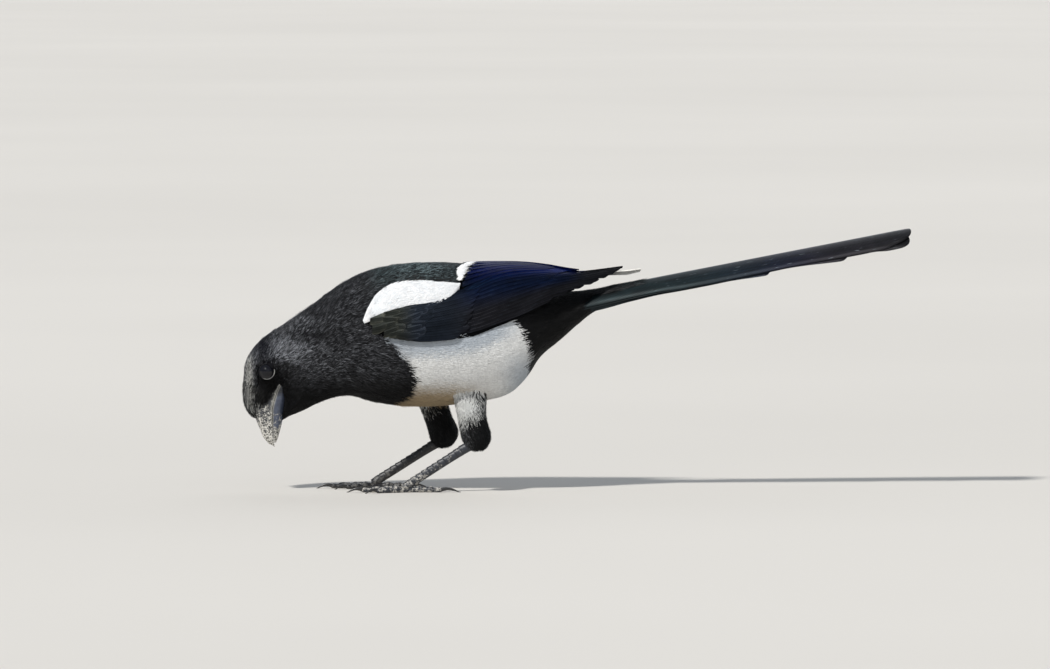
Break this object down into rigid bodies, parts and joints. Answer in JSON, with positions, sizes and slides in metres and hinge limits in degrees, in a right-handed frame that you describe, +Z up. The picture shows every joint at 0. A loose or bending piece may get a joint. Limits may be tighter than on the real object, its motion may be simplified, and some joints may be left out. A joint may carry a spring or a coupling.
{
  "type": "eurasian magpie model",
  "caption": "Life-size magpie standing with its bill pointing down, wings folded and long tail raised behind it.",
  "frame": {"origin": "on the floor under the centre of the model's bounding box", "axes": "+Z up, +X towards the tail's tip so that the bird faces -X, +Y towards the bird's right side"},
  "size_m": [0.4075, 0.0788, 0.1603],
  "materials": {
    "black_plumage": "velvety black feathers with a faint blue sheen",
    "white_plumage": "matt white feathers, slightly creamy low on the belly",
    "wing_feathers": "smooth blue-black feathers with a satin sheen",
    "tail_feathers": "smooth green-black feathers that turn bronze purple near the tip",
    "bill_horn": "black horn, worn dull, with dried pale mud at the tip",
    "eye": "polished dark brown, nearly black",
    "leg_skin": "black scaly skin, semi-matt"
  },
  "bodies": {
    "root": {"head": "black_plumage", "neck": "black_plumage", "back": "black_plumage", "breast": "black_plumage", "belly": "white_plumage", "vent": "black_plumage", "bill_upper": "bill_horn", "bill_lower": "bill_horn", "eye_left": "eye", "eye_right": "eye", "wing_left": "wing_feathers", "wing_right": "wing_feathers", "shoulder_left": "white_plumage", "shoulder_right": "white_plumage", "tail": "tail_feathers", "thigh_left": "black_plumage", "thigh_right": "black_plumage", "shank_left": "leg_skin", "shank_right": "leg_skin", "foot_left": "leg_skin", "foot_right": "leg_skin"}
  },
  "joints": []
}
